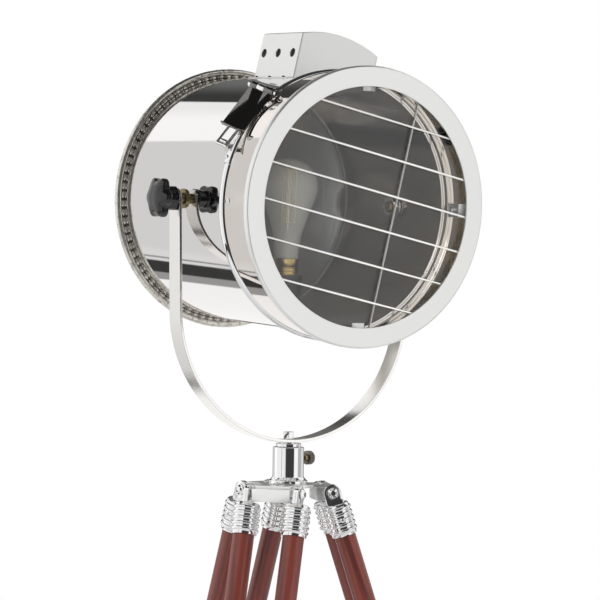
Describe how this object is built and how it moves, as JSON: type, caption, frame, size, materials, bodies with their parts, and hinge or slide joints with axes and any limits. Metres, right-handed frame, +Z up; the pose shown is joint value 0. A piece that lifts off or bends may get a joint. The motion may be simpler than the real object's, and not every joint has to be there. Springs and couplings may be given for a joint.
{
  "type": "tripod spotlight floor lamp",
  "caption": "Floor lamp with a round spotlight head that tilts in a U yoke and swivels on a folding, height-adjustable tripod of paired wooden poles.",
  "frame": {"origin": "centre of the feet's outline, on the floor", "axes": "+Z up, the lamp head shines towards -Y at rest, tilt axis along X"},
  "size_m": [0.682, 0.6404, 1.5206],
  "materials": {
    "polished_steel": "mirror-polished spun sheet, drum and bezel skirt",
    "satin_ring": "flat satin-brushed ring",
    "satin_sheet": "satin sheet metal, vent box",
    "nickel_rope": "antique nickel with a rope-like knurl",
    "mirror_dish": "polished reflector",
    "chrome_castings": "polished nickel castings and post",
    "nickel_fasteners": "nickel-plated screws, rivets and nuts",
    "latch_chrome": "polished latch parts",
    "guard_wire": "bright wire",
    "front_glass": "clear flat glass",
    "bulb_glass": "clear blown glass",
    "filament": "amber filament strips",
    "bulb_cap": "threaded screw cap",
    "lampholder": "dark moulded lampholder",
    "rear_sheet": "satin pressed cover",
    "black_gland": "black moulded gland",
    "dark_brass": "darkened threaded brass",
    "black_knob": "glossy black moulded knob",
    "yoke_steel": "brushed flat bar",
    "white_nickel": "satin plate and blocks",
    "mahogany": "red-brown satin-varnished turned wood",
    "rubber_tip": "black rubber"
  },
  "bodies": {
    "stand": {"socket_post": "chrome_castings", "hub_plate": "white_nickel", "hinge_blocks": "white_nickel", "hub_screws": "nickel_fasteners", "hinge_bolts": "nickel_fasteners"},
    "swivel_screw": {"pan_thumbscrew": "nickel_fasteners"},
    "yoke_frame": {"yoke": "yoke_steel", "yoke_nut": "nickel_fasteners", "swivel_spigot": "chrome_castings"},
    "lamp_head": {"drum_shell": "polished_steel", "rear_cover": "rear_sheet", "rear_rim": "nickel_rope", "back_reflector": "mirror_dish", "clamp_band": "chrome_castings", "vent_box": "satin_sheet", "head_fasteners": "nickel_fasteners", "holder_stand": "satin_sheet", "lampholder": "lampholder", "bulb_cap": "bulb_cap", "bulb_glass": "bulb_glass", "bulb_filament": "filament", "cord_gland": "black_gland", "trunnion_studs": "dark_brass", "trunnion_nuts": "nickel_fasteners", "latch_bracket": "latch_chrome", "latch_hook": "latch_chrome"},
    "bezel": {"bezel_skirt": "polished_steel", "front_ring": "satin_ring", "wire_guard": "guard_wire", "front_glass": "front_glass", "glass_clips": "satin_sheet", "bezel_screws": "nickel_fasteners"},
    "latch_handle": {"latch_lever": "latch_chrome"},
    "latch_loop": {"latch_bail": "guard_wire"},
    "left_knob": {"tilt_knob_left": "black_knob"},
    "right_knob": {"tilt_knob_right": "black_knob"},
    "leg_a_upper": {"leg_a_ferrules": "chrome_castings", "leg_a_poles": "mahogany", "leg_a_clamp": "chrome_castings"},
    "leg_a_lower": {"leg_a_lower_pole": "mahogany", "leg_a_slider": "chrome_castings", "leg_a_shoe": "chrome_castings", "leg_a_tip": "rubber_tip"},
    "leg_a_screw": {"leg_a_clamp_screw": "nickel_fasteners"},
    "leg_b_upper": {"leg_b_ferrules": "chrome_castings", "leg_b_poles": "mahogany", "leg_b_clamp": "chrome_castings"},
    "leg_b_lower": {"leg_b_lower_pole": "mahogany", "leg_b_slider": "chrome_castings", "leg_b_shoe": "chrome_castings", "leg_b_tip": "rubber_tip"},
    "leg_b_screw": {"leg_b_clamp_screw": "nickel_fasteners"},
    "leg_c_upper": {"leg_c_ferrules": "chrome_castings", "leg_c_poles": "mahogany", "leg_c_clamp": "chrome_castings"},
    "leg_c_lower": {"leg_c_lower_pole": "mahogany", "leg_c_slider": "chrome_castings", "leg_c_shoe": "chrome_castings", "leg_c_tip": "rubber_tip"},
    "leg_c_screw": {"leg_c_clamp_screw": "nickel_fasteners"}
  },
  "joints": [
    {"name": "head_swivel", "type": "hinge", "parent": "stand", "child": "yoke_frame", "pos_m": [-0.02645, -0.07119, 1.0925], "axis": [0, 0, 1], "continuous": true},
    {"name": "swivel_screw_turn", "type": "hinge", "parent": "stand", "child": "swivel_screw", "pos_m": [0.00278, -0.06444, 1.0755], "axis": [0.9744, 0.225, 0], "range_deg": [0, 720]},
    {"name": "head_tilt", "type": "hinge", "parent": "yoke_frame", "child": "lamp_head", "pos_m": [-0.02645, -0.07119, 1.34], "axis": [-1, 0, 0], "range_deg": [-55, 55]},
    {"name": "left_knob_turn", "type": "hinge", "parent": "lamp_head", "child": "left_knob", "pos_m": [-0.17645, -0.07119, 1.34], "axis": [-1, 0, 0], "range_deg": [0, 720]},
    {"name": "right_knob_turn", "type": "hinge", "parent": "lamp_head", "child": "right_knob", "pos_m": [0.12355, -0.07119, 1.34], "axis": [1, 0, 0], "range_deg": [0, 720]},
    {"name": "bezel_lift_off", "type": "slide", "parent": "lamp_head", "child": "bezel", "axis": [0, -0.9983, -0.0576], "range_m": [0, 0.15]},
    {"name": "latch_open", "type": "hinge", "parent": "lamp_head", "child": "latch_handle", "pos_m": [-0.1197, -0.16176, 1.44747], "axis": [-0.3289, 0.8895, 0.3171], "range_deg": [0, 110]},
    {"name": "latch_loop_swing", "type": "hinge", "parent": "latch_handle", "child": "latch_loop", "pos_m": [-0.12771, -0.16018, 1.43473], "axis": [-0.3289, 0.8895, 0.3171], "range_deg": [-125, 5]},
    {"name": "leg_a_fold", "type": "hinge", "parent": "stand", "child": "leg_a_upper", "pos_m": [0.01203, -0.08673, 1.042], "axis": [0.3746, 0.9272, 0], "range_deg": [0, 15.5]},
    {"name": "leg_a_extend", "type": "slide", "parent": "leg_a_upper", "child": "leg_a_lower", "axis": [0.2865, -0.1158, -0.9511], "range_m": [-0.33, 0.12]},
    {"name": "leg_a_screw_turn", "type": "hinge", "parent": "leg_a_upper", "child": "leg_a_screw", "pos_m": [0.22002, -0.17077, 0.43249], "axis": [0.8818, -0.3563, 0.309], "range_deg": [0, 720]},
    {"name": "leg_b_fold", "type": "hinge", "parent": "stand", "child": "leg_b_upper", "pos_m": [-0.03222, -0.03009, 1.042], "axis": [-0.9903, -0.1392, 0], "range_deg": [0, 15.5]},
    {"name": "leg_b_extend", "type": "slide", "parent": "leg_b_upper", "child": "leg_b_lower", "axis": [-0.043, 0.306, -0.9511], "range_m": [-0.33, 0.12]},
    {"name": "leg_b_screw_turn", "type": "hinge", "parent": "leg_b_upper", "child": "leg_b_screw", "pos_m": [-0.06344, 0.19205, 0.43249], "axis": [-0.1324, 0.9418, 0.309], "range_deg": [0, 720]},
    {"name": "leg_c_fold", "type": "hinge", "parent": "stand", "child": "leg_c_upper", "pos_m": [-0.05915, -0.09674, 1.042], "axis": [0.6157, -0.788, 0], "range_deg": [0, 15.5]},
    {"name": "leg_c_extend", "type": "slide", "parent": "leg_c_upper", "child": "leg_c_lower", "axis": [-0.2435, -0.1902, -0.9511], "range_m": [-0.33, 0.12]},
    {"name": "leg_c_screw_turn", "type": "hinge", "parent": "leg_c_upper", "child": "leg_c_screw", "pos_m": [-0.23592, -0.23485, 0.43249], "axis": [-0.7494, -0.5855, 0.309], "range_deg": [0, 720]}
  ],
  "couplings": [
    {"joint": "latch_loop_swing", "follows": "latch_open", "ratio": -1.1}
  ]
}
